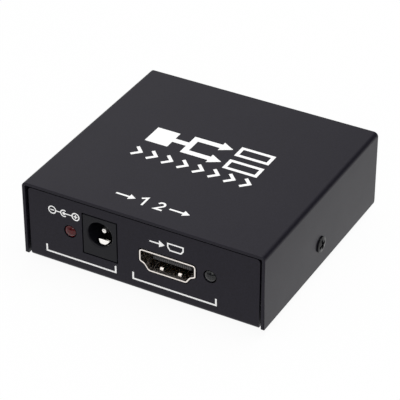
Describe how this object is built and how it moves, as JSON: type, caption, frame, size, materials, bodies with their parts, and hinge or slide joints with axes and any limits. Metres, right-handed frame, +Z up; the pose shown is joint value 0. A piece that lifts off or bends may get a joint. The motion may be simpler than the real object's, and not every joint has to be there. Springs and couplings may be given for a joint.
{
  "type": "video splitter",
  "caption": "Low black folded-steel video splitter box: power jack, input socket and lamps in front, output sockets and lamps behind; a plug bends the jack's leaf spring.",
  "frame": {"origin": "middle of the footprint, on the surface that the feet stand on", "axes": "+Z up, the front panel with the power jack and the input socket faces -Y, +X to the right seen from the front"},
  "size_m": [0.0652, 0.06, 0.0222],
  "materials": {
    "case_paint": "satin black powder coat on folded sheet steel",
    "black_screw": "black oxide on a cross-head screw",
    "foot_rubber": "matt black moulded rubber",
    "plated_steel": "zinc plated, turned",
    "board_laminate": "glass laminate under green solder mask",
    "shell_nickel": "bright nickel on stamped steel",
    "socket_moulding": "moulded black liquid-crystal polymer",
    "contact_gilt": "gold flash on stamped copper alloy",
    "jack_moulding": "moulded black nylon, fine matt texture",
    "bright_nickel": "nickel plated copper alloy, bright",
    "red_lens": "tinted cast epoxy",
    "clear_lens": "clear cast epoxy",
    "tinned_lead": "bright tin plate",
    "chip_moulding": "moulded black epoxy",
    "bright_can": "drawn can, bright",
    "ferrite": "pressed and sintered, matt",
    "resistor_glaze": "black glass glaze",
    "ceramic": "fired ceramic"
  },
  "bodies": {
    "case": {"top_cover": "case_paint", "base_tray": "case_paint", "cover_screws": "black_screw", "rubber_feet": "foot_rubber", "board_standoffs": "plated_steel", "board_screws": "plated_steel", "main_board": "board_laminate", "input_shell": "shell_nickel", "input_insulator": "socket_moulding", "input_contacts": "contact_gilt", "output_1_shell": "shell_nickel", "output_1_insulator": "socket_moulding", "output_1_contacts": "contact_gilt", "output_2_shell": "shell_nickel", "output_2_insulator": "socket_moulding", "output_2_contacts": "contact_gilt", "jack_body": "jack_moulding", "jack_centre_pin": "bright_nickel", "jack_sleeve_foot": "bright_nickel", "jack_shunt_contact": "bright_nickel", "power_led": "red_lens", "power_led_leads": "tinned_lead", "input_led": "clear_lens", "input_led_leads": "tinned_lead", "output_1_led": "clear_lens", "output_1_led_leads": "tinned_lead", "output_2_led": "clear_lens", "output_2_led_leads": "tinned_lead", "splitter_chip": "chip_moulding", "splitter_chip_leads": "tinned_lead", "memory_chips": "chip_moulding", "memory_chip_leads": "tinned_lead", "voltage_regulators": "chip_moulding", "voltage_regulator_leads": "tinned_lead", "crystal": "bright_can", "capacitor_cans": "bright_can", "capacitor_seats": "chip_moulding", "power_inductor": "ferrite", "protection_diode": "chip_moulding", "surge_arrays": "chip_moulding", "chip_resistors": "resistor_glaze", "chip_capacitors": "ceramic", "chip_terminals": "tinned_lead"},
    "leaf_spring": {"jack_sleeve_spring": "bright_nickel"}
  },
  "joints": [
    {"name": "leaf_flex", "type": "hinge", "parent": "case", "child": "leaf_spring", "pos_m": [-0.0112, -0.02095, 0.00985], "axis": [1, 0, 0], "range_deg": [0, 4.5], "stiffness_Nm_per_rad": 0.08}
  ]
}
